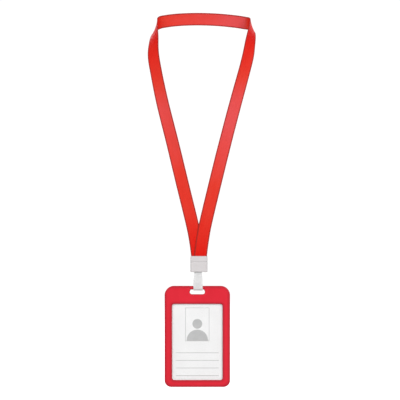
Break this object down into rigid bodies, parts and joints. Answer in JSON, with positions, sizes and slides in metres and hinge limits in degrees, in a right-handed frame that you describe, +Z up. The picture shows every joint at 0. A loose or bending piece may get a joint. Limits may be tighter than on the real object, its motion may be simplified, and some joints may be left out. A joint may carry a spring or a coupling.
{
  "type": "lanyard badge holder",
  "caption": "Ribbon neck loop with a moulded clamp, a snap strap and a rigid windowed card holder that swings from a round bar.",
  "frame": {"origin": "the neck rest: middle of the inner face of the band at the top of the ribbon loop", "axes": "+Z up as worn, +X to the right as seen from the front, -Y towards the viewer"},
  "size_m": [0.1064, 0.0588, 0.3678],
  "materials": {
    "red_ribbon": "satin",
    "red_plastic": "satin",
    "pale_plastic": "satin",
    "pin_steel": "satin",
    "strap_vinyl": "frosted",
    "snap_plastic": "satin",
    "clear_pane": "clear",
    "card_stock": "matte",
    "grey_print": "matte"
  },
  "bodies": {
    "lanyard": {"neck_ribbon": "red_ribbon", "clamp_front": "pale_plastic", "clamp_back": "pale_plastic", "clamp_pin": "pin_steel"},
    "strap": {"strap": "strap_vinyl", "snap_stud": "snap_plastic", "snap_stud_post": "snap_plastic"},
    "tab": {"strap_tab": "strap_vinyl", "snap_socket": "snap_plastic", "snap_cap": "snap_plastic"},
    "holder": {"front_frame": "red_plastic", "back_cover": "red_plastic", "window_pane": "clear_pane"},
    "card": {"insert_card": "card_stock", "card_print": "grey_print"}
  },
  "joints": [
    {"name": "strap_swing", "type": "hinge", "parent": "lanyard", "child": "strap", "pos_m": [0.0007, -0.055, -0.2478], "axis": [-1, 0, 0], "range_deg": [-20, 20]},
    {"name": "holder_swing", "type": "hinge", "parent": "strap", "child": "holder", "pos_m": [0, -0.055, -0.2653], "axis": [-1, 0, 0], "range_deg": [-70, 100]},
    {"name": "tab_open", "type": "hinge", "parent": "strap", "child": "tab", "pos_m": [0.0007, -0.0527, -0.2653], "axis": [-1, 0, 0], "range_deg": [0, 60]},
    {"name": "card_slide", "type": "slide", "parent": "holder", "child": "card", "axis": [1, 0, 0], "range_m": [0, 0.05]}
  ]
}
